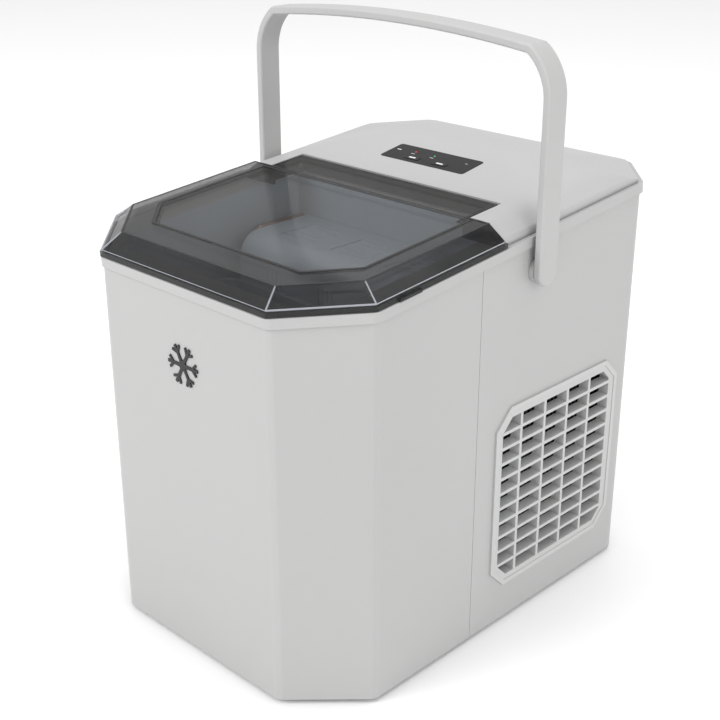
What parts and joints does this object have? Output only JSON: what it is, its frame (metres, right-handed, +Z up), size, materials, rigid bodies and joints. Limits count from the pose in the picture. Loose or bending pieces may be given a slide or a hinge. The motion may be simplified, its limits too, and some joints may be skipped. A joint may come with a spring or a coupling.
{
  "type": "ice maker",
  "caption": "Countertop bullet ice maker with cut-corner light grey housing, smoked lid, side grilles, sloping control strip and an upright carry handle.",
  "frame": {"origin": "on the floor, under the middle of the overall size", "axes": "+X towards the right side, +Y towards the back, +Z up; the front faces -Y"},
  "size_m": [0.2398, 0.3115, 0.3685],
  "materials": {
    "shell_grey": "satin light grey housing plastic",
    "trim_white": "smooth white plastic",
    "handle_grey": "matte light grey plastic",
    "smoked": "dark smoked clear plastic, glossy",
    "window_clear": "clear tinted window, glossy",
    "panel_black": "glossy black plastic",
    "led_red": "red indicator lens",
    "led_green": "green indicator lens",
    "board_green": "green circuit board",
    "tub_blue": "pale blue-grey food-safe plastic",
    "basket_clear": "translucent pale plastic",
    "foam": "cream insulation foam",
    "nickel": "nickel-plated copper",
    "steel": "zinc-plated steel",
    "copper": "bare copper tube",
    "black_paint": "black enamel",
    "aluminium": "thin aluminium fins",
    "black_plastic": "black moulded plastic",
    "grey_plastic": "grey moulded plastic",
    "rubber": "soft black rubber",
    "hose_clear": "milky silicone",
    "silver_badge": "satin silver badge"
  },
  "bodies": {
    "body": {"base_pan": "shell_grey", "front_shell": "shell_grey", "rear_shell": "shell_grey", "rim_frame": "trim_white", "top_cover": "shell_grey", "control_panel": "panel_black", "led_red": "led_red", "led_green": "led_green", "display_board": "board_green", "handle_pivots": "handle_grey", "inner_tub": "tub_blue", "insulation": "foam", "evaporator": "nickel", "evaporator_cover": "tub_blue", "gear_motor": "grey_plastic", "ice_sensors": "black_plastic", "water_pump": "grey_plastic", "pump_hose": "hose_clear", "drain_fitting": "trim_white", "compressor": "black_paint", "compressor_mounts": "rubber", "condenser": "aluminium", "fan_shroud": "grey_plastic", "fan_motor": "steel", "refrigerant_tubes": "copper", "filter_drier": "copper", "gas_valve": "steel", "control_board": "board_green", "partition": "steel", "vent_grille_right": "trim_white", "vent_grille_left": "trim_white", "cord_gland": "rubber", "rubber_feet": "rubber", "base_screws": "steel", "front_emblem": "silver_badge"},
    "lid": {"lid_shell": "smoked", "lid_window": "window_clear", "hinge_pins": "steel"},
    "carry_handle": {"handle": "handle_grey"},
    "power_key": {"power_button": "trim_white"},
    "select_key": {"select_button": "trim_white"},
    "basket": {"ice_basket": "basket_clear"},
    "tray": {"water_tray": "trim_white"},
    "pusher": {"ice_pusher": "trim_white"},
    "fan": {"fan_impeller": "black_plastic"},
    "cap": {"drain_cap": "rubber"}
  },
  "joints": [
    {"name": "lid_hinge", "type": "hinge", "parent": "body", "child": "lid", "pos_m": [0, 0.01075, 0.26265], "axis": [-1, 0, 0], "range_deg": [0, 75]},
    {"name": "handle_pivot", "type": "hinge", "parent": "body", "child": "carry_handle", "pos_m": [0, 0.0198, 0.234], "axis": [1, 0, 0], "range_deg": [-66, 0]},
    {"name": "power_press", "type": "slide", "parent": "body", "child": "power_key", "axis": [0, 0.1616, -0.9869], "range_m": [0, 0.0006], "stiffness_N_per_m": 400, "springref_m": -0.0003},
    {"name": "select_press", "type": "slide", "parent": "body", "child": "select_key", "axis": [0, 0.1616, -0.9869], "range_m": [0, 0.0006], "stiffness_N_per_m": 400, "springref_m": -0.0003},
    {"name": "basket_lift", "type": "slide", "parent": "body", "child": "basket", "axis": [0, 0, 1], "range_m": [0, 0.03]},
    {"name": "tray_turn", "type": "hinge", "parent": "body", "child": "tray", "pos_m": [0, -0.015, 0.182], "axis": [-1, 0, 0], "range_deg": [0, 65]},
    {"name": "pusher_turn", "type": "hinge", "parent": "body", "child": "pusher", "pos_m": [0, -0.015, 0.182], "axis": [-1, 0, 0], "range_deg": [0, 97.5]},
    {"name": "fan_spin", "type": "hinge", "parent": "body", "child": "fan", "pos_m": [0.069, 0.076, 0.09], "axis": [1, 0, 0], "continuous": true},
    {"name": "cap_pull", "type": "slide", "parent": "body", "child": "cap", "axis": [-1, 0, 0], "range_m": [0, 0.013]}
  ],
  "couplings": [
    {"joint": "pusher_turn", "follows": "tray_turn", "ratio": 1.5}
  ]
}
